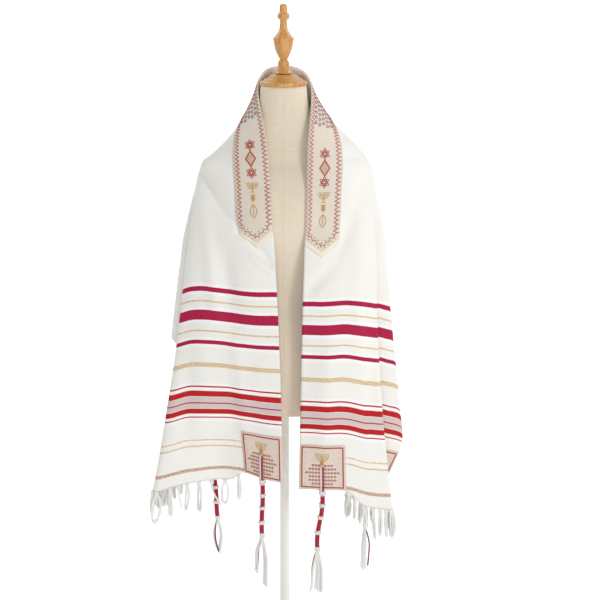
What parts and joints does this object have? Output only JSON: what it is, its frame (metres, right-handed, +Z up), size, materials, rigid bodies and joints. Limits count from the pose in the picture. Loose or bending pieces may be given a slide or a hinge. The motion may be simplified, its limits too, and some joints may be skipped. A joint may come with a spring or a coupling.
{
  "type": "tallit prayer shawl draped on a limbless dress form on a pole stand",
  "caption": "Striped prayer shawl with neck band, corner patches, fringe and corner tassels, draped open at the front over a limbless dress form on a pole stand.",
  "frame": {"origin": "centre of the stand base's underside, on the pole's axis", "axes": "+Z up along the pole, +X to the viewer's right when the open front is faced, -Y out of the open front"},
  "size_m": [0.5715, 0.32, 1.483],
  "materials": {
    "white_cloth": "smooth woven cotton, warm white with red and gold stripes across both ends",
    "collar_satin": "greige satin with red and gold embroidery",
    "patch_satin": "greige satin with red and gold embroidery",
    "tassel_cord": "twisted wool cord, red windings and white knots",
    "fringe_yarn": "soft white yarn",
    "form_linen": "beige linen stretched over the form",
    "turned_wood": "honey-coloured, satin lacquer",
    "painted_metal": "off-white satin paint"
  },
  "bodies": {
    "root": {"shawl": "white_cloth", "collar": "collar_satin", "patch_left_inner": "patch_satin", "patch_left_outer": "patch_satin", "patch_right_inner": "patch_satin", "patch_right_outer": "patch_satin", "fringe_left": "fringe_yarn", "fringe_right": "fringe_yarn", "tassel_left_inner": "tassel_cord", "tassel_left_outer": "tassel_cord", "tassel_right_inner": "tassel_cord", "tassel_right_outer": "tassel_cord", "torso": "form_linen", "neck_cap": "turned_wood", "finial": "turned_wood", "stand_pole": "painted_metal", "stand_base": "painted_metal"}
  },
  "joints": []
}
